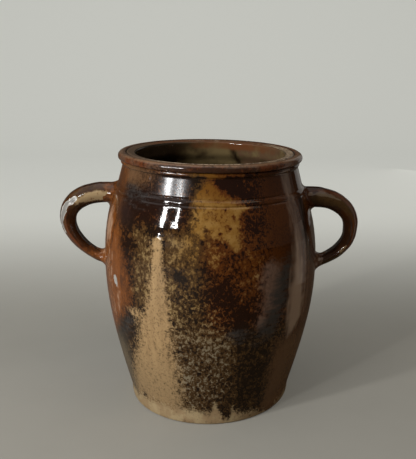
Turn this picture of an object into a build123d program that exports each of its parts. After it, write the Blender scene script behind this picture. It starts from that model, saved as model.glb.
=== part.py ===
from build123d import *

import os

# A two-handled stoneware pot: a thrown body, a rolled rim wrapped round its neck, two pulled
# handles, and the four coils of clay that lute the handle ends to the wall.
# Millimetres, +Z up. The origin is the centre of the underside, and the handles lie along X.

# Foot and floor
foot_radius = 83.7
foot_bevel = 2.6
foot_band_height = 14.0
foot_band_flare = 1.2
floor_thickness = 11.0
floor_corner_radius = 12.0

# Wall, from the foot band up over the belly to the neck
wall_thickness = 8.0
lower_wall_height = 128.0
lower_wall_slope = 0.264
belly_radius = 105.7
upper_wall_height = 84.0
shoulder_slope = 0.5

# Neck, mouth and the flat ledge round the mouth
mouth_radius = 73.2
ledge_width = 8.9
lip_rounding = 1.5
neck_shelf_width = 3.2
neck_height = 13.3
neck_taper = 2.6
bead_height = 4.5
bead_projection = 1.9
collar_depth = 13.0

# Rim roll, seated on the neck's shelf, with a seam between it and the ledge
roll_width = 8.1
roll_height = 7.2
roll_crown_radius = 4.2
roll_under_radius = 2.6
least_roll_flat = 0.4
seam_width = 0.9
seam_depth = 1.7

# Lines incised round the shoulder while the pot turned on the wheel
line_count = 2
line_drop = 5.5
line_spacing = 5.6
line_depth = 0.9

# Handles: the section that both have at the upper root, the width that both taper to, and the
# share of the length at which both are at their thinnest
upper_thickness = 20.0
upper_width = 26.0
lower_width = 20.0
thinning_end = 0.84
root_embed = 6.0

# Left handle: an angular loop, set higher
left_lower_thickness = 10.0
left_thinning_start = 0.25
left_root_drop = 17.2
left_span = 69.5
left_finger_gap = 33.0
left_elbow_drop = 26.5
left_crest_pull = 26.0
left_crest_lift = 4.5
left_elbow_rise = 20.0
left_elbow_fall = 14.0
left_ramp_pull = 21.3
left_ramp_lift = 7.3

# Right handle: a rounder, slimmer loop, set lower
right_lower_thickness = 10.3
right_thinning_start = 0.06
right_root_drop = 21.8
right_span = 70.0
right_finger_gap = 30.4
right_elbow_drop = 28.5
right_crest_pull = 28.0
right_crest_lift = 4.5
right_elbow_rise = 16.5
right_elbow_fall = 13.8
right_ramp_pull = 33.0
right_ramp_lift = 13.0

# Luting coils, smeared from the wall out along each handle end, and more below it than above
luting_flare = 4.0
luting_sag = 2.0
luting_reach = 10.0
luting_feather = 0.6

# Levels and radii worked out from the sizes above
band_top = foot_band_height
band_radius = foot_radius + foot_band_flare
belly_level = band_top + lower_wall_height
neck_base = belly_level + upper_wall_height
neck_top = neck_base + neck_height
shelf_level = neck_top + bead_height
top_level = shelf_level + roll_height
seat_radius = mouth_radius + ledge_width
neck_radius = seat_radius + neck_shelf_width
neck_base_radius = neck_radius + neck_taper
inner_foot_radius = band_radius - wall_thickness
inner_belly_radius = belly_radius - wall_thickness
inner_neck_radius = neck_base_radius - wall_thickness
roll_radius = seat_radius + roll_width
roll_under = min(roll_under_radius, roll_width - least_roll_flat)
roll_crown = min(
    roll_crown_radius,
    roll_height - roll_under - least_roll_flat,
    roll_width - seam_width - least_roll_flat,
)


def rising_curve(start, start_slope, end, end_slope):
    """Control points of a cubic whose height rises evenly, with a given slope of radius at each end."""
    third = (end[1] - start[1]) / 3
    return (
        start,
        (start[0] + start_slope * third, start[1] + third),
        (end[0] - end_slope * third, end[1] - third),
        end,
    )


def rising_radius(controls, level):
    """Radius at a level on such a cubic."""
    t = (level - controls[0][1]) / (controls[3][1] - controls[0][1])
    weights = ((1 - t) ** 3, 3 * t * (1 - t) ** 2, 3 * t**2 * (1 - t), t**3)
    return sum(w * point[0] for w, point in zip(weights, controls))


lower_outside = rising_curve((band_radius, band_top), lower_wall_slope, (belly_radius, belly_level), 0)
upper_outside = rising_curve((belly_radius, belly_level), 0, (neck_base_radius, neck_base), -shoulder_slope)
lower_inside = rising_curve(
    (inner_foot_radius, floor_thickness), lower_wall_slope, (inner_belly_radius, belly_level), 0
)
upper_inside = rising_curve(
    (inner_belly_radius, belly_level), 0, (inner_neck_radius, neck_base), -shoulder_slope
)


def wall_radius(level):
    """Outside radius of the wall between the foot band and the neck."""
    return rising_radius(lower_outside if level < belly_level else upper_outside, level)


def outside_of_wall():
    """The outside of the pot from the centre of its foot up to the shelf that carries the rim roll."""
    Polyline(
        (0, 0),
        (foot_radius - foot_bevel, 0),
        (foot_radius, foot_bevel),
        (band_radius, band_top),
    )
    Bezier(*lower_outside)
    Bezier(*upper_outside)
    Line((neck_base_radius, neck_base), (neck_radius, neck_top))
    ThreePointArc(
        (neck_radius, neck_top),
        (neck_radius + bead_projection, (neck_top + shelf_level) / 2),
        (neck_radius, shelf_level),
    )


def ring_edges(part, level):
    """The round edges of a turned part at one level, smallest first."""
    margin = 0.1
    rings = part.edges().filter_by(GeomType.CIRCLE)
    return rings.filter_by_position(Axis.Z, level - margin, level + margin).sort_by(SortBy.RADIUS)


# The outside of the wall as a full solid, which every handle end and coil is cut back to
with BuildPart() as wall_envelope:
    with BuildSketch(Plane.YZ):
        with BuildLine():
            outside_of_wall()
            Polyline((neck_radius, shelf_level), (0, shelf_level), (0, 0))
        make_face()
    revolve(axis=Axis.Z)

# Body: floor, wall, neck and ledge, thrown from one lump
with BuildPart() as pot_body:
    with BuildSketch(Plane.YZ):
        with BuildLine():
            outside_of_wall()
            Polyline(
                (neck_radius, shelf_level),
                (seat_radius, shelf_level),
                (seat_radius, top_level - seam_depth),
                (seat_radius - seam_width, top_level),
                (mouth_radius, top_level),
                (mouth_radius, top_level - collar_depth),
                (inner_neck_radius, neck_base),
            )
            Bezier(*upper_inside)
            Bezier(*lower_inside)
            Polyline((inner_foot_radius, floor_thickness), (0, floor_thickness), (0, 0))
        make_face()
    revolve(axis=Axis.Z)
    fillet(ring_edges(pot_body, floor_thickness)[0], floor_corner_radius)
    fillet(ring_edges(pot_body, top_level)[0], lip_rounding)
    with BuildSketch(Plane.YZ):
        for line in range(line_count):
            line_level = neck_base - line_drop - line * line_spacing
            with Locations((wall_radius(line_level), line_level)):
                Circle(line_depth)
    revolve(axis=Axis.Z, mode=Mode.SUBTRACT)
pot_body.part.label = "pot_body"

# Rim roll: a coil wrapped round the neck, resting on the shelf
with BuildPart() as rim_roll:
    with BuildSketch(Plane.YZ):
        with BuildLine():
            crown_start = (roll_radius, top_level - roll_crown)
            crown_end = (roll_radius - roll_crown, top_level)
            under_start = (roll_radius - roll_under, shelf_level)
            under_end = (roll_radius, shelf_level + roll_under)
            Line((seat_radius, shelf_level), under_start)
            RadiusArc(under_start, under_end, -roll_under)
            Line(under_end, crown_start)
            RadiusArc(crown_start, crown_end, -roll_crown)
            Polyline(
                crown_end,
                (seat_radius + seam_width, top_level),
                (seat_radius, top_level - seam_depth),
                (seat_radius, shelf_level),
            )
        make_face()
    revolve(axis=Axis.Z)
rim_roll.part.label = "rim_roll"


def handle_centreline(side, lower_thickness, drop, span, gap, elbow_drop, pulls):
    """The middle line of a handle, from inside the wall at its upper root to inside it at its lower root."""
    crest_pull, crest_lift, elbow_rise, elbow_fall, ramp_pull, ramp_lift = pulls
    upper_level = neck_base - drop
    lower_level = upper_level - span
    elbow_level = upper_level - elbow_drop
    upper_start = wall_radius(upper_level) - root_embed
    lower_end = wall_radius(lower_level) - root_embed
    elbow_reach = wall_radius(elbow_level) + gap + (upper_thickness + lower_thickness) / 4
    with BuildLine(Plane.XZ) as line:
        Bezier(
            (side * upper_start, upper_level),
            (side * (upper_start + root_embed + crest_pull), upper_level + crest_lift),
            (side * elbow_reach, elbow_level + elbow_rise),
            (side * elbow_reach, elbow_level),
        )
        Bezier(
            (side * elbow_reach, elbow_level),
            (side * elbow_reach, elbow_level - elbow_fall),
            (side * (lower_end + root_embed + ramp_pull), lower_level + ramp_lift),
            (side * lower_end, lower_level),
        )
    return line.wire()


def section_plane(centreline, distance):
    """A plane square to the centreline, with its own x along the pot's Y."""
    return Plane(
        origin=centreline.position_at(distance, position_mode=PositionMode.LENGTH),
        x_dir=(0, 1, 0),
        z_dir=centreline.tangent_at(distance, position_mode=PositionMode.LENGTH),
    )


def section_radii(centreline, taper, distance):
    """Half width and half thickness of the strap: it narrows evenly and thins mostly round the elbow."""
    lower_thickness, thinning_start = taper
    share = distance / centreline.length
    width = upper_width + (lower_width - upper_width) * share
    thinned = min(max((share - thinning_start) / (thinning_end - thinning_start), 0), 1)
    thinned = thinned**2 * (3 - 2 * thinned)
    thickness = upper_thickness + (lower_thickness - upper_thickness) * thinned
    return width / 2, thickness / 2


def pulled_handle(centreline, taper, label):
    """A tapering strap of oval section, lofted along its centreline and cut back to the wall."""
    section_count = 13
    with BuildPart() as handle:
        for section in range(section_count):
            distance = centreline.length * section / (section_count - 1)
            with BuildSketch(section_plane(centreline, distance)):
                Ellipse(*section_radii(centreline, taper, distance))
        loft()
        add(wall_envelope.part, mode=Mode.SUBTRACT)
    handle.part.label = label
    return handle.part


def luting_coil(centreline, taper, at_upper_root, handle, label):
    """A ring of clay round one handle end: widest at the wall, and feathered out along the handle."""
    section_count = 5
    coil_length = root_embed + luting_reach
    with BuildPart() as coil:
        for section in range(section_count):
            share = section / (section_count - 1)
            distance = coil_length * share
            if not at_upper_root:
                distance = centreline.length - distance
            swell = ((1 - share) * coil_length / luting_reach) ** 2
            flare = luting_feather + luting_flare * swell
            half_width, half_thickness = section_radii(centreline, taper, distance)
            plane = section_plane(centreline, distance)
            with BuildSketch(plane):
                with Locations((0, -luting_sag * swell * plane.y_dir.Z)):
                    Ellipse(half_width + flare, half_thickness + flare)
        loft()
        add(handle, mode=Mode.SUBTRACT)
        add(wall_envelope.part, mode=Mode.SUBTRACT)
    coil.part.label = label
    return coil.part


left_pulls = (
    left_crest_pull,
    left_crest_lift,
    left_elbow_rise,
    left_elbow_fall,
    left_ramp_pull,
    left_ramp_lift,
)
right_pulls = (
    right_crest_pull,
    right_crest_lift,
    right_elbow_rise,
    right_elbow_fall,
    right_ramp_pull,
    right_ramp_lift,
)
left_line = handle_centreline(
    -1, left_lower_thickness, left_root_drop, left_span, left_finger_gap, left_elbow_drop, left_pulls
)
right_line = handle_centreline(
    1, right_lower_thickness, right_root_drop, right_span, right_finger_gap, right_elbow_drop, right_pulls
)

pieces = [pot_body.part, rim_roll.part]
for side_name, centreline, taper in (
    ("left", left_line, (left_lower_thickness, left_thinning_start)),
    ("right", right_line, (right_lower_thickness, right_thinning_start)),
):
    handle = pulled_handle(centreline, taper, f"{side_name}_handle")
    pieces.append(handle)
    for root_name, at_upper_root in (("upper", True), ("lower", False)):
        coil_label = f"{side_name}_{root_name}_luting"
        pieces.append(luting_coil(centreline, taper, at_upper_root, handle, coil_label))

os.makedirs("parts", exist_ok=True)
for piece in pieces:
    export_step(piece, f"parts/{piece.label}.step")
print(f"height {top_level:.1f} mm, rim {2 * roll_radius:.1f} mm, foot {2 * foot_radius:.1f} mm")
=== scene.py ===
import math

import bpy
import numpy as np
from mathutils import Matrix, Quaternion, Vector


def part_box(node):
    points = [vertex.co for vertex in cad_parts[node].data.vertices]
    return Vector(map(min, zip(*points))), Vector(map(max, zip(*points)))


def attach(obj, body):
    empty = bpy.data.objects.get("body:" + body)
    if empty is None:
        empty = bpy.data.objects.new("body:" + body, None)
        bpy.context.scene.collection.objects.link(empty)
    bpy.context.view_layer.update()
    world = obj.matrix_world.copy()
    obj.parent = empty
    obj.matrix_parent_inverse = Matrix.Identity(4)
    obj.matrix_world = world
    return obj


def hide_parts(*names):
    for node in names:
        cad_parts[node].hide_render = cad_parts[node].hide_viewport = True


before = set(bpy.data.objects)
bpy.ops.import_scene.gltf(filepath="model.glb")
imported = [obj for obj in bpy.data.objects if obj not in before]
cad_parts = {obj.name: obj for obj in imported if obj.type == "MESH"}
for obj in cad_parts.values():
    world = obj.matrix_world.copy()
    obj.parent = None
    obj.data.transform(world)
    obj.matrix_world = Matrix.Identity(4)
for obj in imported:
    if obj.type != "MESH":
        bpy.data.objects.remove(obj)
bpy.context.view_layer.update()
print("frame loaded:", ", ".join(sorted(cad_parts)))

mm = 0.001  # everything below is written in millimetres and degrees, and put into the meshes in metres


# shared curves

def ease(low, high, x):  # 0 below low, 1 above high, and 3t^2 - 2t^3 between
    t = np.clip((x - low) / (high - low), 0.0, 1.0)
    return t * t * (3.0 - 2.0 * t)


def fall(low, high, x):  # the same step downwards
    return 1.0 - ease(low, high, x)


def bell(offset, width):  # exp of minus the squared offset, 1 in the middle
    return np.exp(-((offset / width) ** 2))


def most(*masks):  # the largest of several masks at each point
    return np.maximum.reduce(np.broadcast_arrays(*masks))


def wrapTurn(turn):  # an angle brought into -180 to 180 degrees
    return (turn + 180.0) % 360.0 - 180.0


def unit(vectors):  # each brought to length 1
    return vectors / np.linalg.norm(vectors, axis=-1, keepdims=True)


def bezier(a, b, c, d, t):  # cubic curve from a to d, pulled by b and c
    return (1 - t) ** 3 * a + 3 * t * (1 - t) ** 2 * b + 3 * t * t * (1 - t) * c + t**3 * d


def risingRadius(start, startSlope, end, endSlope, level):  # cubic in the level with a slope at each end
    third = (end[1] - start[1]) / 3.0
    t = np.clip((level - start[1]) / (end[1] - start[1]), 0.0, 1.0)
    return bezier(start[0], start[0] + startSlope * third, end[0] - endSlope * third, end[0], t)


def cloud(points, size, seed):  # value noise: seeded corners of a lattice of cubes, eased between corners
    cells = 32
    lattice = np.random.default_rng(seed).random((cells, cells, cells))
    place = points / size
    low = np.floor(place).astype(int)
    part = place - low
    part = part * part * (3.0 - 2.0 * part)
    total = np.zeros(points.shape[:-1])
    for corner in np.ndindex(2, 2, 2):
        step = np.array(corner)
        weight = np.prod(np.where(step == 1, part, 1.0 - part), axis=-1)
        index = (low + step) % cells
        total += weight * lattice[index[..., 0], index[..., 1], index[..., 2]]
    return total - 0.5


# meshes

def hang(name, data):  # a new object in the scene
    made = bpy.data.objects.new(name, data)
    bpy.context.scene.collection.objects.link(made)
    return made


def smoothPiece(name, vertices, faces):  # vertices in metres
    mesh = bpy.data.meshes.new(name)
    mesh.from_pydata(vertices.tolist(), [], faces)
    mesh.polygons.foreach_set("use_smooth", np.ones(len(mesh.polygons), dtype=bool))
    return hang(name, mesh)


def gridPiece(name, points, closedRows=False, regions=None):
    # points is rows x columns x 3 in millimetres. Columns run round and close on themselves.
    # Open rows end in a pole at the mean of the first and of the last row.
    rows, columns = points.shape[:2]
    vertices = points.reshape(-1, 3)
    index = np.arange(rows * columns).reshape(rows, columns)
    if closedRows:
        upper = np.roll(index, -1, axis=0)
        lower = index
    else:
        lower, upper = index[:-1], index[1:]
    quads = np.stack([lower, np.roll(lower, -1, 1), np.roll(upper, -1, 1), upper], -1).reshape(-1, 4)
    faces = [tuple(quad) for quad in quads.tolist()]
    masks = {key: value.reshape(-1) for key, value in (regions or {}).items()}
    if not closedRows:
        first, last = rows * columns, rows * columns + 1
        vertices = np.vstack([vertices, points[0].mean(0), points[-1].mean(0)])
        around = np.roll(index, -1, 1)
        faces += [(first, b, a) for a, b in zip(index[0].tolist(), around[0].tolist())]
        faces += [(last, a, b) for a, b in zip(index[-1].tolist(), around[-1].tolist())]
        masks = {key: np.append(value, [value[0], value[-1]]) for key, value in masks.items()}
    a, b, c, d = (vertices[quads[:, k]] for k in range(4))
    volume = np.einsum("ij,ij->i", a, np.cross(b, c) + np.cross(c, d)).sum()
    if volume < 0:  # turned so that faces point outwards
        faces = [face[::-1] for face in faces]
    piece = smoothPiece(name, vertices * mm, faces)
    for key, value in masks.items():
        layer = piece.data.attributes.new(key, "FLOAT", "POINT")
        layer.data.foreach_set("value", value.astype(np.float32))
    piece.data.update()
    print("made", name, len(faces), "faces")
    return piece


def settle(piece, node, material):  # the piece takes its CAD node's place, body and finish
    piece.data.materials.append(material)
    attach(piece, "root")
    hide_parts(node)


# the pot's wall, from the same sizes as the solids

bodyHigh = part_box("pot_body")[1]
rollLow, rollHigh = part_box("rim_roll")
pot = {
    "footRadius": 83.7,
    "footBevel": 2.6,
    "bandTop": 14.0,
    "bandRadius": 84.9,
    "bellyRadius": bodyHigh.x / mm,
    "bellyLevel": 142.0,
    "lowerSlope": 0.264,
    "neckBase": 226.0,
    "neckFrom": 221.6,
    "neckBaseRadius": 87.9,
    "shoulderSlope": 0.5,
    "neckRadius": 85.3,
    "neckTop": 239.3,
    "beadOut": 1.9,
    "shelf": rollLow.z / mm,
    "top": bodyHigh.z / mm,
    "seatRadius": 82.1,
    "seamWidth": 0.9,
    "seamDepth": 1.7,
    "mouthRadius": 73.2,
    "lipRound": 1.6,
    "ledgeFall": 1.2,
    "collarBottom": 238.0,
    "wall": 8.0,
    "floor": 11.0,
    "floorCorner": 12.0,
}
handmade = {
    "lean": -0.0155,  # the rim dips to the right: rise per millimetre of x
    "leanFrom": 120.0,
    "footOval": 2.7,  # the foot is fuller to the front and back
    "footOvalTurn": -14.5,
    "roundness": 0.35,
    "ringPitch": 8.4,  # throwing rings
    "ringOutside": 0.05,
    "ringInside": 0.55,
}
incised = {"levels": (220.5, 214.9), "depth": 0.95, "half": 0.7, "bead": 0.5, "waver": 0.3}


def wallRadius(level):  # outside of the wall, from the table to the top of the neck
    p = pot
    belly = (p["bellyRadius"], p["bellyLevel"])
    neckFoot = (p["neckBaseRadius"], p["neckBase"])
    lower = risingRadius((p["bandRadius"], p["bandTop"]), p["lowerSlope"], belly, 0.0, level)
    upper = risingRadius(belly, 0.0, neckFoot, -p["shoulderSlope"], level)
    band = np.interp(level, [0.0, p["bandTop"]], [p["footRadius"], p["bandRadius"]])
    neckFrom = risingRadius(belly, 0.0, neckFoot, -p["shoulderSlope"], p["neckFrom"])
    neck = np.interp(level, [p["neckFrom"], p["neckTop"]], [neckFrom, p["neckRadius"]])
    wall = np.where(level < p["bellyLevel"], lower, upper)
    return np.where(level < p["bandTop"], band, np.where(level > p["neckFrom"], neck, wall))


def leanRise(x, level):  # how far the leaning rim lifts or drops a point
    return handmade["lean"] * x * ease(handmade["leanFrom"], pot["neckBase"], level)


def outOfRound(turn, level):  # the foot's oval, fading up the wall, and a slow three-lobed error
    oval = np.cos(np.radians(2.0 * (turn - handmade["footOvalTurn"])))
    oval = handmade["footOval"] * oval * fall(0.0, 120.0, level)
    lobes = handmade["roundness"] * np.cos(np.radians(3.0 * turn) + level / 60.0)
    return oval + lobes * fall(200.0, 240.0, level)


def onPot(radius, turn, level):  # x, y, z of a point at a turn from the front, leaning with the rim
    x = radius * np.sin(np.radians(turn))
    y = -radius * np.cos(np.radians(turn))
    return np.stack([x, y, level + leanRise(x, level)], -1)


def turnOf(points):  # the turn from the front at which each point stands
    return np.degrees(np.arctan2(points[..., 0], -points[..., 1]))


def wallAt(points):  # outside radius of the finished wall beside each point
    level = points[..., 2] - leanRise(points[..., 0], points[..., 2])
    return wallRadius(level) + outOfRound(turnOf(points), level)


# where each glaze, painted reflection, painted light and painted shade lies: masks of a turn from the
# front in degrees and a level in millimetres

creamRun = {  # a pale run that spreads as it goes down
    "levels": (0, 20, 40, 60, 80, 100, 112, 122, 140, 160, 181),
    "left": (-60, -58, -53, -47.5, -41.5, -38, -36.5, -33, -30.9, -30.2, -29.8),
    "right": (-16, -17.5, -18.5, -19, -20, -20.8, -21, -21.4, -22.3, -23.4, -24.6),
    "head": 188,
    "middle": -27.2,
    "thick": 0.7,
}
ochreBloom = {
    "levels": (166, 178, 192, 205, 214, 222, 232, 243),
    "left": (11, 6, -9, -9, -10, -10.5, -4.5, -3.5),
    "right": (14, 16, 13.5, 16, 21.5, 14, 7, 1),
}
rustFlank = {  # bare of brown glaze beside the left handle
    "levels": (58, 70, 80, 90, 100, 112, 122, 135, 150, 160, 170, 190, 210, 240),
    "left": (-128,) * 14,
    "right": (-82, -74, -66, -60.5, -55.5, -49, -45.5, -44.5, -46.5, -50, -53, -56, -57.5, -63),
}
scorches = (  # dark streaks down the right of the belly and beside the rust, and along the right edge a painted reflection of the right handle
    {"levels": (84, 100, 120, 140, 168), "left": (20, 25, 30.5, 34, 38), "right": (33, 36, 41, 44, 45)},
    {"levels": (62, 80, 95, 112), "left": (-70, -63, -55, -48), "right": (-56, -51, -45, -40)},
    {"levels": (150, 165, 183, 207, 222), "left": (61, 60, 56, 60, 62), "right": (67, 66, 62, 67, 67)},
)
ashStreak = {  # painted reflection of a pale wall: a pale streak down the right side
    "levels": (84, 100, 120, 160, 200, 240),
    "left": (46, 44.5, 44.5, 46.5, 48, 50),
    "right": (50, 57, 56, 53.5, 53.5, 57.5),
}
paleSpots = (  # turn, level, half turn, half height, and how much paler the speckle is there
    (-34, 150, 6.5, 38, 0.28),
    (-78, 211, 18, 13, 0.35),
    (-40, 186, 9, 3, 0.3),
    (-19.5, 125, 3, 46, 0.24),
    (-13, 178, 9, 20, 0.34),
    (1, 94, 13, 15, 0.2),
    (-10, 50, 10, 34, 0.16),
    (6, 74, 7, 16, 0.1),
    (8, 160, 12, 20, -0.04),
    (5, 137, 7.5, 11, -0.5),
    (-15.5, 154, 4, 4.5, -0.45),
    (14, 112, 8, 17, -0.4),
    (22, 52, 12, 30, -0.16),
    (21, 150, 7, 17, 0.18),
    (-46.8, 18, 3, 5, -0.8),
    (-48, 140, 5, 60, -0.3),
    (13, 231, 6, 8, -0.3),
    # painted light: the neck bead under the rim paler, where it catches the light
    (0, 242.4, 26, 2.6, 0.6),
    # painted shade: a dark line in the crease under the bead
    (0, 238.8, 60, 1.4, -0.6),
    (4, 173, 7, 9, 0.2),
    (-14, 230, 5, 9, 0.1),
    (-46, 219, 13, 8, -0.26),
    (-24, 215, 12, 5, -0.35),
    (6, 235, 3.5, 3.5, -0.5),
    (-31, 194, 8, 8, -0.18),
    (20, 206, 8, 16, 0.12),
    (-2.5, 162, 2.5, 3, -0.45),
)
ochreSpots = (  # turn, level, half turn and half height of dark spots
    (-3.2, 195.5, 1.5, 2.3),
    (4.8, 194, 0.9, 1.6),
    (2.2, 205, 0.7, 1.3),
    (-7.2, 205, 0.9, 1.8),
    (12, 206.5, 1, 1.6),
    (7.6, 213, 0.7, 1.3),
    (-0.5, 211, 0.6, 1),
    (9.5, 198, 0.8, 1.2),
    (-1.8, 228, 0.7, 1.3),
)
sheenAndSpotsOnRust = (  # turn, level, half turn, half height, and how much paler or darker the rust is there; the paler ones are painted sheen, a pink streak and the pale far left edge, the darker ones are dark glaze
    (-70.5, 188, 5, 20, 1.25),
    (-67, 148, 9, 14, 0.36),
    (-64, 116, 12, 24, 0.28),
    (-62, 182, 2.6, 16, -0.5),
    (-59.5, 198, 4, 13, -0.55),
    (-88, 158, 10, 11, 0.8),
    (-48, 146, 5, 20, -0.35),
    (-66, 217, 18, 16, -1),
    (-62, 151, 1, 2, -1),
)
footTongues = (  # turn, half turn and rise of the bare foot's upper edge
    (2.8, 2.2, 8),
    (14.5, 1.8, 6),
    (9, 2.4, -7),
    (-12, 7, 2.5),
    (46, 24, -13),
)
grit = (  # turn and level of small pimples that catch the light
    (-39.3, 235),
    (-4.2, 185.4),
    (4.6, 178),
    (10.4, 165.5),
    (11.3, 141),
    (-27.4, 186.6),
    (6.2, 171.5),
    (-32, 142),
    (18.5, 113.5),
)


def between(low, high, soft, x):  # 1 from low to high
    return ease(low - soft, low + soft, x) * fall(high - soft, high + soft, x)


def edges(table, level):  # a region's left and right turn at each level
    return [np.interp(level, table["levels"], table[side]) for side in ("left", "right")]


def span(table, turn, level, soft):  # 1 between two edges that move with the level
    return between(*edges(table, level), soft, turn)


def patch(turn, level, middle, high, halfTurn, halfHigh):  # soft oval
    return bell(np.hypot(wrapTurn(turn - middle) / halfTurn, (level - high) / halfHigh), 1.0)


def footBlot(turn, level):  # one dark spot where the run meets the foot
    return 0.95 * patch(turn, level, -46.8, 18, 2.4, 4)


def creamAt(turn, level):  # the run's soft mask, its two edges drawn together into a round head
    first = creamRun["levels"][-1]
    over = np.clip((level - first) / (creamRun["head"] - first), 0, 1)
    middle = creamRun["middle"]
    narrow = np.sqrt(1.0 - np.minimum(over, 0.999) ** 2)
    soft = 1.5 + 3.6 * fall(60, 175, level)
    place = middle + (turn - middle) / narrow
    left, right = edges(creamRun, level)
    run = ease(left - 1.5 * soft, left + 1.5 * soft, place)
    run = run * fall(right - 1.3 * soft, right + 1.3 * soft, place) * (over < 1)
    run = most(run, 0.8 * patch(turn, level, -41, 111.5, 5, 3.5))
    return run * (1.0 - footBlot(turn, level))


def frontGlazes(turn, level):
    drop = 191.0 - 12.0 * bell(turn - 13, 4)  # the bloom ends lower in one drip
    ochre = span(ochreBloom, turn, level, 4.5) * between(drop, 250, 8, level)
    spots = sum(patch(turn, level, *spot) for spot in ochreSpots)
    pale = 0.31 + sum(amount * patch(turn, level, *place) for *place, amount in paleSpots)
    pale = pale - 0.2 * ease(188, 202, level) - 0.12 * fall(-60, -48, turn)
    pale = pale + 0.78 * ochre - 0.7 * spots
    net = ease(-24, -18, turn) * fall(6, 20, turn) * between(24, 150, 14, level)
    scorch = most(
        0.85 * span(scorches[0], turn, level, 4) * between(92, 163, 12, level),
        0.45 * span(scorches[1], turn, level, 6) * between(78, 108, 12, level),
        0.6 * patch(turn, level, 14, 97, 5, 6),
        0.4 * patch(turn, level, -46, 219, 14, 8),
    )
    # painted reflection: a dark streak along the right edge where the right handle is mirrored, and a
    # dark plum patch on the left shoulder
    plumAndHandleReflection = span(scorches[2], turn, level, 2.5) * between(154, 218, 8, level)
    plumAndHandleReflection = most(plumAndHandleReflection, 0.8 * patch(turn, level, -52, 202, 6, 10))
    haze = 0.8 * ease(20, 32, turn) * fall(34, 41, turn)
    haze = most(haze * between(114, 164, 6, level), patch(turn, level, 26.5, 109, 3, 8))
    # painted reflection of a pale wall down the right side, fainter higher up, with a dimmer painted
    # sheen to its right
    ash = span(ashStreak, turn, level, 3.5) * between(88, 250, 10, level)
    ash = ash * (1.0 - 0.72 * ease(130, 205, level))
    ash = most(ash, 0.2 * ease(54, 60, turn) * between(96, 180, 16, level))
    olive = ease(219, 236, level) * fall(-60, -24, turn) * ease(-110, -74, turn)
    olive = most(olive, ease(31, 44, turn) * fall(66, 100, level))
    red = ease(-8, 4, turn) * between(104, 260, 12, level)
    red = red + 0.8 * fall(-16, -8, turn) * between(196, 260, 8, level)
    red = most(red, 0.9 * patch(turn, level, -50, 152, 7, 48))
    gold = most(ease(105, 175, level) * ease(-26, -6, turn), fall(-52, -40, turn))
    smooth = ease(22, 38, turn) * between(152, 260, 14, level)
    smooth = smooth + ease(40, 50, turn) * between(80, 152, 14, level)
    rust = span(rustFlank, turn, level, 7) * (1.0 - 0.5 * patch(turn, level, -78, 211, 18, 13))
    matte = most(
        1.05 * ease(219.5, 222.5, level) * fall(-14, -4, turn),
        fall(183, 191, level) * fall(8, 26, turn),
        fall(150, 200, level) * ease(38, 46, turn),
    )
    grey = fall(76, 124, level) * fall(8, 20, turn)
    edge = fall(-62, -46, turn) * fall(52, 92, level)
    masks = dict(pale=pale, net=net, gold=gold, red=red, grey=grey, smooth=smooth, rust=rust, plumAndHandleReflection=plumAndHandleReflection)
    masks.update(scorch=scorch, haze=haze, ash=ash, olive=olive, edge=edge, matte=matte)
    masks["cream"] = creamAt(turn, level)
    masks["deep"] = ease(212, 230, level)
    # low: painted shade, the cream darker towards the bottom of the wall
    masks["low"] = fall(30, 105, level)
    # paler where sheen is painted on the rust, darker at its dark glaze spots
    masks["rustSheenAndSpots"] = sum(amount * patch(turn, level, *place) for *place, amount in sheenAndSpotsOnRust)
    masks["chip"] = patch(turn, level, -57.2, 136, 2, 5.6)
    return masks


def glazesAt(points, inside=None):  # the front as seen, and the far side a turned and lowered echo of it
    turn = turnOf(points)
    high = points[..., 2]
    level = high - leanRise(points[..., 0], high)
    stray = cloud(points, 9, 3)
    turn = wrapTurn(turn + 2.0 * stray + 2.4 * cloud(points * [1, 1, 0.6], 4.5, 4))
    level = level + 3.0 * cloud(points, 11, 5) + 4.0 * cloud(points, 5, 6)
    near = frontGlazes(turn, level)
    far = frontGlazes(wrapTurn(172.0 - turn), level + 22)
    beyond = ease(84, 108, np.abs(turn))
    masks = {key: near[key] * (1.0 - beyond) + far[key] * beyond for key in near}
    masks["rust"] = most(near["rust"], far["rust"] * beyond)
    masks["chip"] = near["chip"] * (1.0 - beyond)
    drips = 14.0 + 6.0 * (stray + 1.4 * cloud(points * [1, 1, 0.2], 5, 9))
    drips = drips + sum(rise * bell(wrapTurn(turn - middle), half) for middle, half, rise in footTongues)
    foot = fall(-7, 7, high - drips) * (1.0 - patch(turn, high, 8.4, 7, 1.1, 2.2))
    masks["foot"] = foot * (1.0 - footBlot(turn, high))
    masks["inside"] = np.zeros(turn.shape) if inside is None else inside
    blush = ease(96, 112, turn) * fall(154, 157, turn) * ease(170, 200, level)
    drip = bell(turn - (154.0 + 0.22 * (level - 215)), 2.6) * ease(185, 205, level)
    # painted shade: the inside's left part darkened, as in the rim's shadow; it shares the outside scorch
    # mask, with a dark drip
    shade = 0.9 * between(-158, -60, 14, turn) * ease(150, 190, level)
    for key, instead in (("red", blush), ("scorch", most(drip, shade))):
        masks[key] = np.where(masks["inside"] > 0.5, instead, masks[key])
    return masks


# the body's outline: underside, wall, neck, ledge, mouth, inside wall and floor

def pair(radius, level):  # points of an outline
    return np.stack(np.broadcast_arrays(radius, level), -1)


def arc(middle, across, high, angle):  # part of an ellipse about a middle, angles in degrees
    angle = np.radians(angle)
    return pair(middle[0] + across * np.cos(angle), middle[1] + high * np.sin(angle))


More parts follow.
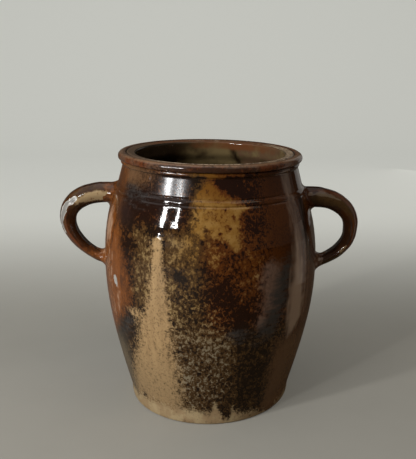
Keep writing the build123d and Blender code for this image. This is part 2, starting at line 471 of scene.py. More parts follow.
def bodyOutline():
    p = pot
    bevel, corner = p["footBevel"], p["floorCorner"]
    flat = p["footRadius"] - bevel
    under = np.linspace(3, flat, 7)
    rows = [pair(under, 0.9 * (1.0 - (under / flat) ** 6))]
    rows.append(arc((flat, bevel), bevel, bevel, np.linspace(-80, 0, 6)))
    lowWall = np.arange(bevel + 1.6, incised["levels"][1] - 4, 1.75)
    lines = np.arange(lowWall[-1] + 0.6, incised["levels"][0] + 3.2, 0.45)
    neck = np.linspace(lines[-1] + 0.9, p["neckTop"], 10)
    wall = np.concatenate([lowWall, lines, neck])
    rows.append(pair(wallRadius(wall), wall))
    beadHalf = (p["shelf"] - p["neckTop"]) / 2
    beadMiddle = (p["neckRadius"], p["neckTop"] + beadHalf)
    rows.append(arc(beadMiddle, p["beadOut"], beadHalf, np.linspace(-75, 75, 7)))
    seamTop = p["seatRadius"] - p["seamWidth"]
    seam = [
        (p["neckRadius"] - 0.6, p["shelf"]),
        (p["seatRadius"], p["shelf"]),
        (p["seatRadius"], p["top"] - p["seamDepth"]),
        (seamTop + 0.3, p["top"] - 0.7),
        (seamTop - 0.3, p["top"] - 0.1),
    ]
    rows.append(np.array(seam))
    ledge = np.linspace(seamTop - 1.2, p["mouthRadius"] + p["lipRound"], 6)
    rows.append(pair(ledge, np.linspace(p["top"] - 0.2, p["top"] - p["ledgeFall"], 6)))
    lipMiddle = (p["mouthRadius"] + p["lipRound"], p["top"] - p["ledgeFall"] - p["lipRound"])
    rows.append(arc(lipMiddle, -p["lipRound"], p["lipRound"], np.linspace(75, 0, 5)))
    bore = np.linspace(lipMiddle[1] - 1.5, p["collarBottom"], 6)
    rows.append(pair(p["mouthRadius"], bore))
    collar = np.linspace(0, 1, 8)[1:]
    inNeck = p["neckBaseRadius"] - p["wall"]
    swell = p["mouthRadius"] + (inNeck - p["mouthRadius"]) * (1.0 - np.cos(collar * math.pi)) / 2
    rows.append(pair(swell, p["collarBottom"] + (p["neckBase"] - p["collarBottom"]) * collar))
    inBelly = (p["bellyRadius"] - p["wall"], p["bellyLevel"])
    upperIn = np.linspace(p["neckBase"], p["bellyLevel"], 30)[1:]
    upperRadius = risingRadius(inBelly, 0, (inNeck, p["neckBase"]), -p["shoulderSlope"], upperIn)
    rows.append(pair(upperRadius, upperIn))
    inFoot = (p["bandRadius"] - p["wall"], p["floor"])
    lowerIn = np.linspace(p["bellyLevel"], p["floor"] + corner, 28)[1:]
    lowerRadius = risingRadius(inFoot, p["lowerSlope"], inBelly, 0, lowerIn)
    rows.append(pair(lowerRadius, lowerIn))
    turned = arc((lowerRadius[-1] - corner, lowerIn[-1]), corner, -corner, np.linspace(0, 90, 8)[1:])
    rows.append(turned)
    rows.append(pair(np.linspace(turned[-1, 0] - 4, 3, 10), p["floor"]))
    counts = np.cumsum([len(part) for part in rows])
    return np.vstack(rows), {"outer": counts[3], "ledge": counts[5]}


bodyGrid = {"half": 88, "front": 250, "back": 100}  # columns stand closer together on the front
glazeCoat = {
    "thick": 0.5,
    "swell": 0.08,  # glaze never lies quite flat
    "ripple": 0.03,
    "pimple": 0.8,
    "pimpleHalf": (0.75, 1.5),  # turn and height
    "chip": 0.5,
}


def makeBody():
    outline, ends = bodyOutline()
    half = bodyGrid["half"]
    front = np.linspace(-half, half, bodyGrid["front"] + 1)[:-1]
    back = np.linspace(half, 360.0 - half, bodyGrid["back"] + 1)[:-1]
    turn = np.concatenate([front, back])[None, :]
    radius, level = outline[:, 0:1], outline[:, 1:2]
    row = np.arange(len(outline))[:, None]
    outside = (row < ends["outer"]) & (level > 0.9)
    inside = (row >= ends["ledge"]).astype(float)
    helix = np.sin(2.0 * np.pi * (level / handmade["ringPitch"] + turn / 360))
    fade = ease(16, 50, level) * fall(190, 212, level)
    radius = radius + outOfRound(turn, level) * ease(20, 70, radius)
    radius = radius + outside * handmade["ringOutside"] * helix * fade
    radius = radius - inside * handmade["ringInside"] * helix * ease(20, 40, level) * (level < 224)
    waver = incised["waver"] * (np.sin(np.radians(turn * 2)) + 0.6 * np.sin(np.radians(turn * 5 + 40)))
    bead = incised["bead"] * bell(level + waver - sum(incised["levels"]) / 2, 2.2)
    radius = radius + outside * bead
    for line in incised["levels"]:  # each line is a bell-shaped groove, with a low bead between the two
        groove = incised["depth"] * bell(level + waver - line, incised["half"])
        groove = groove * (1.0 - 0.75 * between(48, 76, 3, turn))  # filled by the pale run
        radius = radius - outside * groove
    points = onPot(radius, turn, level + 0 * turn)
    masks = glazesAt(points, inside + 0 * turn)
    masks["ledge"] = ((row >= ends["outer"]) & (row < ends["ledge"])) * 1.0 + 0 * turn
    # painted shade: the ledge darker along its left side, carried in the red mask
    shaded = between(-165, -35, 12, wrapTurn(turn))
    masks["red"] = np.where(masks["ledge"] > 0.5, shaded, masks["red"])
    collar = inside * ease(240, 245, level) * bell(wrapTurn(turn - 156), 36)
    behind = 0.8 * masks["ledge"] * ease(112, 140, np.abs(wrapTurn(turn)))
    masks["collar"] = most(collar, behind)
    c = glazeCoat
    relief = c["swell"] * cloud(points, 9, 21) + c["ripple"] * cloud(points, 4, 22)
    raised = creamRun["thick"] * masks["cream"] * (0.75 + 0.5 * cloud(points * [1, 1, 0.15], 5, 23))
    raised = raised * (1.0 - 0.6 * ease(60, 20, level))
    pimples = sum(patch(turn, level, *place, *c["pimpleHalf"]) for place in grit)
    coat = relief + raised + c["thick"] * (1.0 - masks["foot"])
    coat = coat + c["pimple"] * pimples - c["chip"] * masks["chip"]
    coat = np.where(outside, coat, 0.3 * relief * (level > 1))
    normal = points * [1, 1, 0]
    normal = normal / np.maximum(np.linalg.norm(normal, axis=-1, keepdims=True), 1)
    points = points + np.where(inside > 0, -0.4 * relief, coat)[..., None] * normal
    return gridPiece("potBodyGlazed", points, regions=masks)


# materials

def setInputs(tree, node, inputs):  # each from a socket, a tone's name, a colour or a number
    for key, value in inputs.items():
        socket = node.inputs[key]
        if isinstance(value, str):
            value = tones[value]
        if isinstance(value, bpy.types.NodeSocket):
            tree.links.new(value, socket)
        elif isinstance(value, tuple) and socket.type == "RGBA":
            socket.default_value = (*value, 1.0)
        else:
            socket.default_value = value


def addNode(tree, kind, inputs=None, **settings):
    made = tree.nodes.new(kind)
    for key, value in settings.items():
        setattr(made, key, value)
    setInputs(tree, made, inputs or {})
    return made


def coordsOf(tree):  # the object's own coordinates, in metres
    return addNode(tree, "ShaderNodeTexCoord").outputs["Object"]


def grain(tree, size, detail=3.0, rough=0.55, stretch=(1.0, 1.0, 1.0), warp=0.0):
    # noise whose features are about size millimetres, drawn out by stretch
    placed = addNode(tree, "ShaderNodeMapping", {"Vector": coordsOf(tree), "Scale": stretch})
    sizes = {"Scale": 1.0 / (size * mm), "Detail": detail, "Roughness": rough, "Distortion": warp}
    sizes["Vector"] = placed.outputs["Vector"]
    return addNode(tree, "ShaderNodeTexNoise", sizes).outputs["Fac"]


def region(tree, name):
    return addNode(tree, "ShaderNodeAttribute", attribute_name=name).outputs["Fac"]


def reckon(tree, operation, *values):  # one step of arithmetic
    return addNode(tree, "ShaderNodeMath", dict(enumerate(values)), operation=operation).outputs[0]


def times(tree, a, b):
    return reckon(tree, "MULTIPLY", a, b)


def cut(tree, value, low, high, bottom=0.0, top=1.0):  # eased step between two values
    sizes = {"Value": value, "From Min": low, "From Max": high, "To Min": bottom, "To Max": top}
    return addNode(tree, "ShaderNodeMapRange", sizes, interpolation_type="SMOOTHSTEP").outputs["Result"]


def stirred(tree, total, *noises):  # total + the sum of weight * (noise - 0.5)
    for noise, weight in noises:
        total = reckon(tree, "MULTIPLY_ADD", noise, weight, total)
    return reckon(tree, "SUBTRACT", total, 0.5 * sum(weight for _, weight in noises))


def speckled(tree, mask, noise, spread, soft):  # a mask whose edge breaks up into the noise's specks
    broken = cut(tree, stirred(tree, mask, (noise, spread)), 0.5 - soft, 0.5 + soft)
    return times(tree, broken, cut(tree, mask, 0.0, 0.12))


def netting(tree, size, sway):  # pale veins along the borders of wavering cells, in millimetres
    coords = coordsOf(tree)
    sizes = {"Vector": coords, "Scale": 1.0 / (size * mm), "Detail": 2.0}
    drift = addNode(tree, "ShaderNodeTexNoise", sizes)
    sizes = {0: drift.outputs["Color"], 1: (0.5,) * 3}
    drift = addNode(tree, "ShaderNodeVectorMath", sizes, operation="SUBTRACT")
    sizes = {0: drift.outputs["Vector"], 1: (2.0 * sway * mm,) * 3, 2: coords}
    swayed = addNode(tree, "ShaderNodeVectorMath", sizes, operation="MULTIPLY_ADD").outputs["Vector"]
    sizes = {"Vector": swayed, "Scale": 1.0 / (size * mm)}
    cells = addNode(tree, "ShaderNodeTexVoronoi", sizes, feature="DISTANCE_TO_EDGE")
    return cut(tree, cells.outputs["Distance"], 0.0, 0.2, 1.0, 0.0)


def mix(tree, share, under, over):  # of two colours, all over where the share is 1
    return addNode(tree, "ShaderNodeMix", {0: share, 6: under, 7: over}, data_type="RGBA").outputs[2]


def laid(tree, colour, over, name, noise, spread, soft, share=1.0):
    # one more glaze over those so far, where its region's broken edge lets it
    mask = speckled(tree, region(tree, name), noise, spread, soft)
    return mix(tree, times(tree, mask, share), colour, over)


def startMaterial(name):
    made = bpy.data.materials.new(name)
    made.use_nodes = True
    surface = made.node_tree.nodes["Principled BSDF"]
    surface.inputs["IOR"].default_value = 1.47
    return made, made.node_tree, surface


def finishGlaze(tree, surface, colour, rough, heights, depth):
    # heights are noises that raise the surface, each with a weight, added up into one bump
    total = stirred(tree, 0.5, *heights)
    bump = addNode(tree, "ShaderNodeBump", {"Height": total, "Strength": 0.5, "Distance": depth * mm})
    sockets = {"Base Color": colour, "Roughness": rough, "Normal": bump.outputs["Normal"]}
    setInputs(tree, surface, sockets)


tones = {  # glaze and clay colours, linear
    "webDark": (0.013, 0.0068, 0.0035),
    "webBrown": (0.07, 0.035, 0.011),
    "tan": (0.27, 0.178, 0.072),
    "greyTan": (0.23, 0.188, 0.122),
    "redDark": (0.015, 0.0042, 0.0018),
    "redBrown": (0.095, 0.027, 0.0045),
    "ochre": (0.225, 0.108, 0.021),
    "ochrePale": (0.285, 0.155, 0.04),
    "ochreDeep": (0.165, 0.068, 0.01),
    "smoothRed": (0.085, 0.025, 0.004),
    "smoothDark": (0.055, 0.016, 0.0035),
    # dark: the right handle's painted reflection, and a plum patch
    "plumAndHandleReflection": (0.024, 0.011, 0.008),
    "rust": (0.205, 0.065, 0.014),
    "rustDark": (0.1, 0.036, 0.012),
    # pale pink: painted sheen on the rust flank
    "rustPinkSheen": (0.45, 0.265, 0.16),
    "scorch": (0.047, 0.043, 0.04),
    "haze": (0.185, 0.118, 0.088),
    "ash": (0.5, 0.365, 0.27),
    # painted reflection of a pale wall, down the right side
    "olive": (0.16, 0.082, 0.037),
    "edge": (0.17, 0.13, 0.078),
    "cream": (0.47, 0.305, 0.145),
    "creamDark": (0.37, 0.235, 0.11),
    # painted shade on the cream low on the wall
    "creamShadedLow": (0.32, 0.215, 0.108),
    "clay": (0.41, 0.305, 0.165),
    "clayDark": (0.32, 0.215, 0.11),
    "insideOlive": (0.14, 0.1, 0.045),
    "insideBrown": (0.05, 0.033, 0.015),
    "insideBlush": (0.106, 0.061, 0.033),
    "insideRed": (0.13, 0.05, 0.019),
    "ledge": (0.42, 0.315, 0.21),
    "ledgeDark": (0.1, 0.062, 0.036),
    "rim": (0.13, 0.067, 0.039),
    "rimDark": (0.022, 0.009, 0.0045),
    "rimWorn": (0.2, 0.112, 0.062),
    "handle": (0.03, 0.013, 0.006),
    "handleOlive": (0.066, 0.033, 0.009),
    "handleRed": (0.12, 0.033, 0.0095),
    "handleCream": (0.36, 0.255, 0.135),
    "chip": (0.42, 0.4, 0.36),
    "chipGrey": (0.25, 0.24, 0.22),
}


def makeBodyGlaze():
    made, tree, surface = startMaterial("bodyRunGlaze")
    cloudy = grain(tree, 26.0)
    patchy = grain(tree, 10.0, 4.0, 0.6)
    web = grain(tree, 3.1, 4.0, 0.57, (1.0, 1.0, 0.8), 0.6)
    speck = grain(tree, 1.7, 3.0, 0.6)
    ragged = stirred(tree, 0.5, (web, 0.6), (speck, 0.7))
    streak = grain(tree, 5.0, 3.0, 0.5, (1.0, 1.0, 0.06))
    level = grain(tree, 4.0, 3.0, 0.6, (0.25, 0.25, 1.2))
    net = times(tree, netting(tree, 4.6, 2.4), cut(tree, web, 0.36, 0.6))
    through = stirred(tree, region(tree, "pale"), (web, 1.55), (speck, 0.6), (patchy, 0.85))
    through = reckon(tree, "MULTIPLY_ADD", times(tree, net, region(tree, "net")), 0.3, through)
    red, gold = region(tree, "red"), region(tree, "gold")
    dark = mix(tree, red, "webDark", "redDark")
    middle = mix(tree, red, "webBrown", "redBrown")
    bloom = mix(tree, cut(tree, patchy, 0.42, 0.62), "ochre", "ochrePale")
    bloom = mix(tree, region(tree, "deep"), bloom, "ochreDeep")
    light = mix(tree, gold, "tan", bloom)
    light = mix(tree, region(tree, "grey"), light, "greyTan")
    colour = mix(tree, cut(tree, through, 0.14, 0.48), dark, middle)
    colour = mix(tree, cut(tree, through, 0.46, 0.92), colour, light)
    grainy = stirred(tree, 0.5, (cloudy, 0.8), (speck, 1.0))
    smooth = mix(tree, cut(tree, grainy, 0.35, 0.65), "smoothDark", "smoothRed")
    smooth = mix(tree, times(tree, region(tree, "deep"), 0.7), smooth, "smoothDark")
    colour = laid(tree, colour, smooth, "smooth", speck, 2.6, 0.35)
    colour = laid(tree, colour, "olive", "olive", ragged, 1.6, 0.6, 0.9)
    colour = laid(tree, colour, "edge", "edge", ragged, 1.6, 0.7, 0.85)
    # towards the pale pink end: painted sheen on the rust flank
    rustTone = stirred(tree, region(tree, "rustSheenAndSpots"), (streak, 1.6), (patchy, 1.8), (web, 0.5))
    rust = mix(tree, cut(tree, rustTone, -0.6, 0.15), "rustDark", "rust")
    rust = mix(tree, cut(tree, rustTone, 0.15, 1.0), rust, "rustPinkSheen")
    colour = laid(tree, colour, rust, "rust", ragged, 1.4, 0.6)
    # painted reflection of the right handle along the right edge, and a plum patch on the left shoulder
    colour = laid(tree, colour, "plumAndHandleReflection", "plumAndHandleReflection", ragged, 2.4, 0.6)
    colour = laid(tree, colour, "haze", "haze", web, 1.2, 0.5, 0.8)
    smear = stirred(tree, 0.5, (level, 0.7), (ragged, 0.6))
    colour = laid(tree, colour, "scorch", "scorch", smear, 2.8, 0.6)
    # painted reflection: the pale streak down the right side
    colour = laid(tree, colour, "ash", "ash", streak, 1.0, 0.6, 0.75)
    cream = mix(tree, cut(tree, streak, 0.3, 0.7), "creamDark", "cream")
    # painted shade: the cream darker low on the wall
    cream = mix(tree, times(tree, region(tree, "low"), 0.8), cream, "creamShadedLow")
    colour = laid(tree, colour, cream, "cream", ragged, 3.0, 0.65)
    clay = mix(tree, cut(tree, patchy, 0.4, 0.62), "clayDark", "clay")
    footMask = speckled(tree, region(tree, "foot"), ragged, 2.8, 0.5)
    colour = mix(tree, footMask, colour, clay)
    colour = laid(tree, colour, "chip", "chip", speck, 0.8, 0.12)
    within = mix(tree, cut(tree, cloudy, 0.36, 0.6), "insideBrown", "insideOlive")
    within = mix(tree, times(tree, red, cut(tree, patchy, 0.3, 0.55)), within, "insideBlush")
    # inside: a dark drip and painted shade on the left part
    within = mix(tree, region(tree, "scorch"), within, "webDark")
    colour = mix(tree, region(tree, "inside"), colour, within)
    ledge = mix(tree, cut(tree, web, 0.38, 0.6), "ledgeDark", "ledge")
    # on the ledge, red is painted shade along its left side
    ledge = mix(tree, times(tree, red, 0.95), ledge, "ledgeDark")
    colour = mix(tree, region(tree, "ledge"), colour, ledge)
    colour = laid(tree, colour, "insideRed", "collar", patchy, 1.4, 0.5)
    rough = cut(tree, patchy, 0.35, 0.7, 0.035, 0.09)
    for mask, duller in ((region(tree, "matte"), 0.13), (footMask, 0.4), (region(tree, "ledge"), 0.3)):
        rough = reckon(tree, "MULTIPLY_ADD", mask, duller, rough)
    finishGlaze(tree, surface, colour, rough, [(patchy, 1.0), (web, 0.25), (speck, 0.1)], 0.15)
    return made


bodyGlaze = makeBodyGlaze()
settle(makeBody(), "pot_body", bodyGlaze)


# rim roll: a coil round the neck, with a seam between it and the ledge

roll = {"radius": rollHigh.x / mm, "under": 2.6, "crown": 4.2, "waver": 0.35, "nick": 5.0, "columns": 360}


def makeRim():
    p = pot
    under, crown = roll["under"], roll["crown"]
    underRows = arc((roll["radius"] - under, p["shelf"] + under), under, under, np.linspace(-90, 0, 9))
    crownRows = arc((roll["radius"] - crown, p["top"] - crown), crown, crown, np.linspace(0, 90, 13))
    seam = [
        (p["seatRadius"] + p["seamWidth"] + 0.5, p["top"] - 0.1),
        (p["seatRadius"] + 0.4, p["top"] - 0.6),
        (p["seatRadius"] + 0.05, p["top"] - p["seamDepth"]),
        (p["seatRadius"] + 0.05, p["shelf"] + 4),
        (p["seatRadius"] + 0.05, p["shelf"] + 0.05),
    ]
    outline = np.vstack([underRows, crownRows, np.array(seam)])
    turn = np.linspace(-180, 180, roll["columns"] + 1)[:-1][None, :]
    radius, level = outline[:, 0:1] + 0 * turn, outline[:, 1:2] + 0 * turn
    out = ease(p["seatRadius"] + 1.5, p["seatRadius"] + 4, radius)  # the seat itself stays true
    points = onPot(radius, turn, level)
    flat = points * [1, 1, 0.2]
    dents = cloud(flat, 11, 31) + 0.5 * cloud(flat, 4.5, 32)
    nicks = np.maximum(cloud(points, 5, 33) - 0.33, 0)
    radius = radius + out * (roll["waver"] * dents - roll["nick"] * nicks * (level > p["shelf"] + 2.5))
    level = level + out * 0.4 * roll["waver"] * cloud(flat, 16, 34)
    points = onPot(radius, turn, level)
    crest = ease(p["top"] - 2.6, p["top"] - 0.5, level)
    crest = crest * ease(p["seatRadius"] + 1, p["seatRadius"] + 2.4, radius)
    front = bell(turn, 40)
    back = ease(110, 150, np.abs(turn))
    masks = {
        "worn": crest * (0.8 - 0.5 * back + 0.8 * cloud(points, 9, 35)) + 3.0 * nicks,
        "dark": most(front, 0.85 * back) * (1.0 + 0.6 * cloud(points, 12, 36)) * (1.0 - 0.8 * crest),
        "seam": fall(p["seatRadius"] + 0.4, p["seatRadius"] + 1.4, radius),
    }
    return gridPiece("rimRollGlazed", points, closedRows=True, regions=masks)


def makeRimGlaze():
    made, tree, surface = startMaterial("rimBrownGlaze")
    cloudy = grain(tree, 18.0)
    patchy = grain(tree, 6.0, 4.0, 0.6)
    speck = grain(tree, 2.2, 3.0, 0.6)
    colour = mix(tree, cut(tree, cloudy, 0.38, 0.62), "handleRed", "rim")
    colour = mix(tree, cut(tree, speck, 0.58, 0.66, 0, 0.8), colour, "rimDark")
    colour = laid(tree, colour, "rimWorn", "worn", speck, 1.6, 0.3)
    broken = stirred(tree, 0.5, (patchy, 0.7), (speck, 0.6))
    colour = laid(tree, colour, "rimDark", "dark", broken, 2.6, 0.35, 0.85)
    colour = mix(tree, region(tree, "seam"), colour, "webDark")
    rough = cut(tree, patchy, 0.35, 0.7, 0.08, 0.2)
    finishGlaze(tree, surface, colour, rough, [(patchy, 1.0), (speck, 0.4)], 0.35)
    return made


settle(makeRim(), "rim_roll", makeRimGlaze())


# handles: an oval strap carried along two cubic curves that meet at the elbow

strap = {
    "upperThick": 20.0,
    "upperWide": 26.0,
    "lowerWide": 20.0,
    "thinnest": 0.84,  # share of the length from which it thins no more
    "embed": 6.0,
    "flutes": (0.3, 0.25),  # left by the fingers, five and three round the strap
    "lumps": (0.7, 0.35),
    "rows": 150,
    "columns": 72,
}
loops = {
    "left": {
        "side": -1.0,
        "lowerThick": 10.0,
        "thinsFrom": 0.25,
        "rootDrop": 17.2,
        "span": 69.5,
        "gap": 33.0,
        "elbowDrop": 26.5,
        "crest": (26.0, 4.5),
        "elbow": (20.0, 14.0),
        "ramp": (21.3, 7.3),
    },
    "right": {
        "side": 1.0,
        "lowerThick": 10.3,
        "thinsFrom": 0.06,
        "rootDrop": 21.8,
        "span": 70.0,
        "gap": 30.4,
        "elbowDrop": 28.5,
        "crest": (28.0, 4.5),
        "elbow": (16.5, 13.8),
        "ramp": (33.0, 13.0),
    },
}


def strapLine(loop):  # finely stepped middle line, and how far along it each step lies
    upper = pot["neckBase"] - loop["rootDrop"]
    lower = upper - loop["span"]
    elbow = upper - loop["elbowDrop"]
    start = float(wallRadius(upper)) - strap["embed"]
    end = float(wallRadius(lower)) - strap["embed"]
    reach = float(wallRadius(elbow)) + loop["gap"] + (strap["upperThick"] + loop["lowerThick"]) / 4
    t = np.linspace(0.0, 1.0, 400)[:, None]
    first = [
        (start, upper),
        (start + strap["embed"] + loop["crest"][0], upper + loop["crest"][1]),
        (reach, elbow + loop["elbow"][0]),
        (reach, elbow),
    ]
    second = [
        (reach, elbow),
        (reach, elbow - loop["elbow"][1]),
        (end + strap["embed"] + loop["ramp"][0], lower + loop["ramp"][1]),
        (end, lower),
    ]
    line = np.vstack([bezier(*np.array(first), t), bezier(*np.array(second), t)[1:]])
    steps = np.linalg.norm(np.diff(line, axis=0), axis=1)
    return line, np.concatenate([[0.0], np.cumsum(steps)])


def strapSurface(loop, distance, around):
    # point of the strap: middle + half thickness * cos * normal + half width * sin * y
    line, along = strapLine(loop)
    slope = np.gradient(line, along, axis=0)
    share = distance / along[-1]
    middle = [np.interp(distance, along, line[:, k]) for k in range(2)]
    tangent = unit(np.stack([np.interp(distance, along, slope[:, k]) for k in range(2)], -1))
    thinned = ease(loop["thinsFrom"], strap["thinnest"], share)
    thick = strap["upperThick"] + (loop["lowerThick"] - strap["upperThick"]) * thinned
    wide = strap["upperWide"] + (strap["lowerWide"] - strap["upperWide"]) * share
    outward = thick / 2 * np.cos(around)
    out = middle[0] - outward * tangent[..., 1]
    high = middle[1] + outward * tangent[..., 0]
    return np.stack([loop["side"] * out, wide / 2 * np.sin(around) + 0 * out, high], -1)


def makeHandle(name, loop, wear):
    length = strapLine(loop)[1][-1]
    distance = np.linspace(0, length, strap["rows"])[:, None]
    around = np.linspace(0, 2 * np.pi, strap["columns"] + 1)[:-1][None, :]
    share = distance / length + 0 * around
    points = strapSurface(loop, distance + 0 * around, around + 0 * distance)
    out = unit(points - points.mean(1, keepdims=True))
    outer, front = np.cos(around), -np.sin(around)  # 1 on the outside of the loop, 1 towards the viewer
    five, three = strap["flutes"]
    pulled = five * np.cos(5 * around + 1) + three * np.cos(3 * around + 9.0 * share)
    large, small = strap["lumps"]
    lumps = large * cloud(points, 13, 41) + small * cloud(points, 5, 42)
    face = np.degrees(np.arctan2(front, outer)) + 0 * share  # 0 outside the loop, 90 to the viewer
    ragged = 0.35 * cloud(points, 4, 43) + 0.25 * cloud(points, 9, 44)
    pulls = np.stack([share * length * 0.14, face * 0.17, 0 * face], -1)
    runs = cloud(pulls, 3.2, 47) + 0.6 * cloud(pulls, 1.4, 48)  # streaks along the strap

    def worn(middle, half, side, halfSide, lean=0):  # how far out of an oval, 1 on its edge
        along = (share - middle) / half
        return np.hypot(along, (face - side + lean * along) / halfSide) + 1.6 * ragged

    def within(places):
        return sum(amount * fall(0.6, 1.3, worn(*place) - ragged) for *place, amount in places)

    scar = worn(*wear["scar"])
    chip = fall(0.85, 1.05, scar)
    masks = {
        "chip": chip,
        "core": fall(0.58, 0.86, scar),
        "cream": within(wear["cream"]),
        "red": within(wear["red"]) + 1.2 * runs,
        "olive": within(wear["olive"]) + 1.2 * runs,
        "shade": bell(np.abs(face) - 180, 70) + 0.4 * runs,
        "rust": wear["rust"] * most(fall(0.04, 0.15, share), ease(0.7, 0.88, share)),
    }
    depth = -wear["deep"] * chip * (0.8 + 0.8 * cloud(points, 3, 46))
    points = points + (pulled + lumps + depth)[..., None] * out
    return gridPiece(name, points, regions=masks)


# each oval is the share of the length and its half, the face and its half, and how strong it is
leftWear = {
    "scar": (0.465, 0.13, 47, 25, 22),
    "deep": 1.3,
    "cream": ((0.18, 0.17, 98, 33, 1),),
    "red": ((0.76, 0.28, 55, 60, 1),),
    "olive": ((0.33, 0.12, 125, 36, 0.8), (0.2, 0.12, 52, 24, 0.4)),
    "rust": 1,
}
rightWear = {
    "scar": (0.745, 0.012, 62, 7),
    "deep": 0.2,
    "cream": ((0.7, 0.04, 92, 16, 0.55),),
    "red": ((0.56, 0.2, 45, 40, 1.5), (0.3, 0.2, 40, 20, 0.5)),
    "olive": ((0.24, 0.2, 88, 40, 0.8), (0.85, 0.14, 60, 50, 1.1)),
    "rust": 0,
}


def makeHandleGlaze():
    made, tree, surface = startMaterial("handleBrownGlaze")
    cloudy = grain(tree, 16.0)
    patchy = grain(tree, 5.5, 4.0, 0.6)
    speck = grain(tree, 2.2, 3.0, 0.6)
    colour = mix(tree, cut(tree, cloudy, 0.38, 0.62), "handle", "smoothDark")
    colour = laid(tree, colour, "handleRed", "red", patchy, 1.2, 0.5)
    colour = laid(tree, colour, "handleOlive", "olive", patchy, 1.6, 0.4)
    colour = mix(tree, cut(tree, speck, 0.6, 0.68, 0, 0.8), colour, "handle")
    colour = mix(tree, cut(tree, region(tree, "shade"), 0.2, 0.8, 0.0, 0.8), colour, "handle")
    rust = mix(tree, cut(tree, patchy, 0.35, 0.65), "rustDark", "rust")
    colour = laid(tree, colour, rust, "rust", patchy, 1.6, 0.4)
    cream = mix(tree, cut(tree, patchy, 0.32, 0.5), "olive", "handleCream")
    colour = laid(tree, colour, cream, "cream", speck, 1.4, 0.35)
    chip = speckled(tree, region(tree, "chip"), speck, 0.5, 0.15)
    core = speckled(tree, region(tree, "core"), patchy, 1.6, 0.3)
    colour = mix(tree, chip, colour, mix(tree, core, "chip", "chipGrey"))
    rough = cut(tree, patchy, 0.35, 0.7, 0.07, 0.16)
    rough = reckon(tree, "MULTIPLY_ADD", chip, 0.3, rough)
    finishGlaze(tree, surface, colour, rough, [(patchy, 1.0), (speck, 0.4)], 0.35)
    return made


handleGlaze = makeHandleGlaze()
for sideName, wear in (("left", leftWear), ("right", rightWear)):
    handle = makeHandle(f"{sideName}HandleGlazed", loops[sideName], wear)
    settle(handle, f"{sideName}_handle", handleGlaze)


# luting: clay smeared from the wall out along each handle end

luting = {  # reach along the strap and flare on the wall, outside the loop and in its inner corner
    "upper": {"reach": (8.0, 9.0), "flare": (4.0, 8.0)},
    "lower": {"reach": (9.0, 13.0), "flare": (8.0, 12.0)},
    "search": 26.0,  # length of strap on which its meeting with the wall is looked for
    "steps": 131,
    "fill": 0.4,  # height in the corner
    "dip": 0.25,  # how far its edges run under the two skins
    "sunk": (2.0, 1.5),  # depth of the return under the wall and under the strap
    "lump": 0.35,
    "columns": 96,
    "rows": 14,
}


def makeLuting(name, loop, atUpper):
    # from the handle's skin, through the corner where it meets the wall, out on to the wall: a
    # quadratic curve tangent to both, closed by a return sunk under the two skins
    length = strapLine(loop)[1][-1]
    around = np.linspace(0.0, 2 * np.pi, luting["columns"] + 1)[:-1]
    steps = np.linspace(0.0, luting["search"], luting["steps"])
    distance = steps[:, None] if atUpper else length - steps[:, None]
    skin = strapSurface(loop, distance + 0 * around, around + 0 * distance)
    clear = np.hypot(skin[..., 0], skin[..., 1]) - wallAt(skin)
    met = steps[np.argmax(clear > 0.0, axis=0)]
    sizes = luting["upper" if atUpper else "lower"]
    inner = (0.5 - 0.5 * np.cos(around)) ** 2
    reach = np.interp(inner, [0.0, 1.0], sizes["reach"]) * (1.0 + 0.2 * np.sin(around * 3 + length))

    def skinAt(offset):
        place = offset if atUpper else length - offset
        return strapSurface(loop, place, around)

    corner, onStrap = skinAt(met), skinAt(met + reach)
    centre = corner.mean(0)
    spread = corner - centre
    wallNormal = unit(corner * [1, 1, 0])
    spread = unit(spread - np.einsum("ij,ij->i", spread, wallNormal)[:, None] * wallNormal)
    flare = np.interp(inner, [0.0, 1.0], sizes["flare"])
    flare = flare * (1.0 + 0.15 * np.sin(around * 4 + 2.0 * length))

    def pressed(points, depth):  # moved in or out to stand depth above the wall
        radius = (wallAt(points) + depth) / np.hypot(points[:, 0], points[:, 1])
        return points * np.stack([radius, radius, np.ones(len(radius))], -1)

    corner = pressed(corner, luting["fill"])
    onWall = pressed(corner + spread * flare[:, None], -luting["dip"])
    inward = unit(onStrap.mean(0) - onStrap)
    onStrap = onStrap + luting["dip"] * inward
    t = np.linspace(0.0, 1.0, luting["rows"])[:, None, None]
    fillet = (1 - t) ** 2 * onStrap + 2 * t * (1 - t) * corner + t**2 * onWall
    under = corner + 0.15 * (centre - corner)
    deep, shallow = luting["sunk"]
    sunk = [pressed(onWall, -deep), pressed(under, -deep), onStrap + shallow * inward]
    points = np.vstack([fillet, np.stack(sunk)])
    points = points + luting["lump"] * cloud(points, 6.0, 51)[..., None] * wallNormal[None]
    masks = glazesAt(points)
    masks["ledge"] = masks["collar"] = 0.0 * masks["foot"]
    return gridPiece(name, points, closedRows=True, regions=masks)


for sideName in ("left", "right"):
    for rootName in ("upper", "lower"):
        ring = makeLuting(f"{sideName}{rootName.title()}Luting", loops[sideName], rootName == "upper")
        settle(ring, f"{sideName}_{rootName}_luting", bodyGlaze)


# stage, light and camera

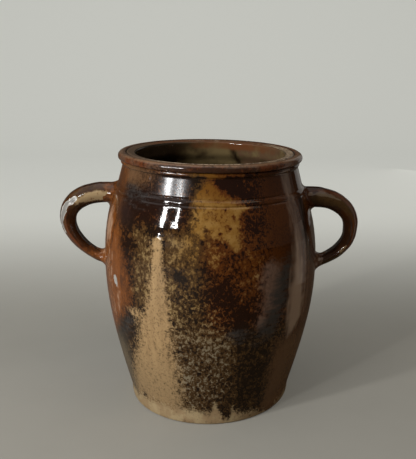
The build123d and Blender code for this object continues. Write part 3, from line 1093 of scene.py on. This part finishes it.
def stageMaterial():  # pale paper, lifted for the camera alone towards the back, and dim in reflections
    made, tree, surface = startMaterial("palePaper")
    place = addNode(tree, "ShaderNodeSeparateXYZ", {"Vector": coordsOf(tree)})
    deep = place.outputs["Y"]
    rays = addNode(tree, "ShaderNodeLightPath")
    tone = cut(tree, grain(tree, 90.0, 2.0), 0.3, 0.7)
    paper = mix(tree, tone, (0.27, 0.256, 0.22), (0.28, 0.266, 0.23))
    paper = mix(tree, cut(tree, deep, 0.1, 1.5), paper, (0.45, 0.455, 0.43))
    mirrored = mix(tree, cut(tree, deep, 0.1, 0.6), (0.12, 0.082, 0.048), (0.17, 0.15, 0.12))
    mirrored = mix(tree, cut(tree, place.outputs["X"], -0.35, 0.1), (0.2, 0.19, 0.17), mirrored)
    paper = mix(tree, rays.outputs["Is Glossy Ray"], paper, mirrored)
    setInputs(tree, surface, {"Base Color": paper, "Roughness": 0.8, "Emission Color": (0.98, 1.0, 0.93)})
    lift = times(tree, rays.outputs["Is Camera Ray"], cut(tree, deep, 0.1, 0.8, 0.07, 0.42))
    setInputs(tree, surface, {"Emission Strength": lift})
    return made


backdrop = {"front": -2.4, "back": 1.6, "bend": 0.7, "half": 3.2, "top": 3.2}  # in metres


def makeSweep():  # flat floor that curves up into a backdrop
    b = backdrop
    wall = b["back"] + b["bend"]
    bend = np.radians(np.linspace(0, 90, 24))[1:]
    along = [np.linspace(b["front"], b["back"], 12), b["back"] + b["bend"] * np.sin(bend), [wall, wall]]
    high = [np.zeros(12), b["bend"] * (1 - np.cos(bend)), [b["top"] / 2, b["top"]]]
    x, y = np.meshgrid(np.linspace(-b["half"], b["half"], 9), np.concatenate(along))
    z = np.repeat(np.concatenate(high)[:, None], x.shape[1], 1)
    index = np.arange(x.size).reshape(x.shape)
    quads = np.stack([index[:-1, :-1], index[:-1, 1:], index[1:, 1:], index[1:, :-1]], -1).reshape(-1, 4)
    sweep = smoothPiece("paleSweep", np.stack([x, y, z], -1).reshape(-1, 3), quads.tolist())
    sweep.data.materials.append(stageMaterial())


def aimed(place, target, roll):  # rotation that points -Z from place to target, rolled about that line
    look = (Vector(target) - Vector(place)).to_track_quat("-Z", "Y")
    return (look @ Quaternion((0.0, 0.0, 1.0), math.radians(roll))).to_euler()


def softLight(name, place, target, width, height, radiance, tint=(1.0, 1.0, 1.0), roll=0.0):
    # rectangle of even brightness
    lamp = bpy.data.lights.new(name, "AREA")
    lamp.shape = "RECTANGLE"
    lamp.size = width
    lamp.size_y = height
    lamp.energy = radiance * math.pi * width * height
    lamp.color = tint
    holder = hang(name, lamp)
    holder.location = place
    holder.rotation_euler = aimed(place, target, roll)


shoulder = (0.0, 0.0, 0.2)


def around(turn, rise, distance):  # a place seen from the shoulder at a turn from the front
    turn, rise = math.radians(turn), math.radians(rise)
    flat = distance * math.cos(rise)
    return (flat * math.sin(turn), -flat * math.cos(turn), shoulder[2] + distance * math.sin(rise))


makeSweep()
softLight("leftBar", around(-51.2, 17.3, 1.3), shoulder, 0.072, 0.245, 120.0)
softLight("rightBar", around(-35.4, 20.4, 1.3), shoulder, 0.03, 0.275, 120.0)
softLight("topBar", around(-45.0, 25.3, 1.3), shoulder, 0.4, 0.021, 120.0, roll=12.9)
softLight("sillBar", around(-38.5, 14.6, 1.3), shoulder, 0.1, 0.026, 60.0)
softLight("highLeft", around(-65.0, 60.0, 1.7), shoulder, 2.0, 1.8, 0.52)
softLight("highRight", around(50.0, 55.0, 1.7), shoulder, 1.0, 1.0, 0.95, (1.0, 0.82, 0.6))
softLight("overhead", (0.0, 0.2, 1.9), (0.0, 0.0, 0.1), 1.6, 1.6, 0.36)
cards = (  # beside the right handle: name, level, level aimed at, height and brightness
    ("rightCard", 0.38, 0.3, 0.36, 0.18),
    ("middleCard", 0.168, 0.15, 0.066, 0.26),
    ("lowCard", 0.074, 0.1, 0.122, 0.38),
)
for name, level, aim, height, radiance in cards:
    place, target = (0.39, 0.058, level), (0.085, -0.065, aim)
    softLight(name, place, target, 0.12, height, radiance, (1.0, 0.85, 0.72))
softLight("backWall", (0.74, 1.1, 0.45), shoulder, 0.6, 1.1, 0.3, (1.0, 0.97, 0.92))

world = bpy.data.worlds.new("softRoom")
bpy.context.scene.world = world
world.use_nodes = True
background = world.node_tree.nodes["Background"]
setInputs(world.node_tree, background, {"Color": (1.0, 0.92, 0.8), "Strength": 0.08})

view = {  # fitted to the rim, the mouth and the foot
    "focal": 718.4,  # in rows of the frame
    "rows": 459.0,
    "place": (-0.00215, -0.7035, 0.3553),
    "tilt": 14.7,
}
lens = bpy.data.cameras.new("photoLens")
lens.sensor_width = 36.0
lens.lens = view["focal"] * lens.sensor_width / view["rows"]
viewer = hang("photoLens", lens)
viewer.location = view["place"]
viewer.rotation_euler = (math.radians(90.0 - view["tilt"]), 0.0, 0.0)
bpy.context.scene.camera = viewer
bpy.context.scene.view_settings.view_transform = "Standard"
